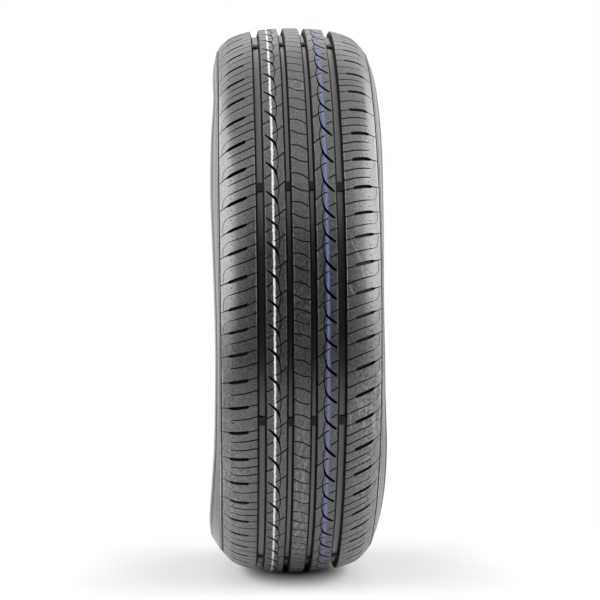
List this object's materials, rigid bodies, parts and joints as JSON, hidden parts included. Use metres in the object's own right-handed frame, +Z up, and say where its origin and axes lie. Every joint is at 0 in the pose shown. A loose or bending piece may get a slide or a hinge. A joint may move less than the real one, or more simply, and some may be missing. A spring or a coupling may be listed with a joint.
{
  "type": "car tyre",
  "caption": "Radial car tyre with main grooves round the tread, slanted shoulder slots and plain sidewalls, open at the beads so that it seats on a wheel rim.",
  "frame": {"origin": "centre of the tyre, on the axle line midway between the beads", "axes": "+Y along the axle line, +Z up, with the tyre standing on its tread at -Z"},
  "size_m": [0.6214, 0.18, 0.6203],
  "materials": {
    "tyre": "moulded black rubber, satin on the tread and sidewalls"
  },
  "bodies": {
    "root": {"tyre": "tyre"}
  },
  "joints": []
}
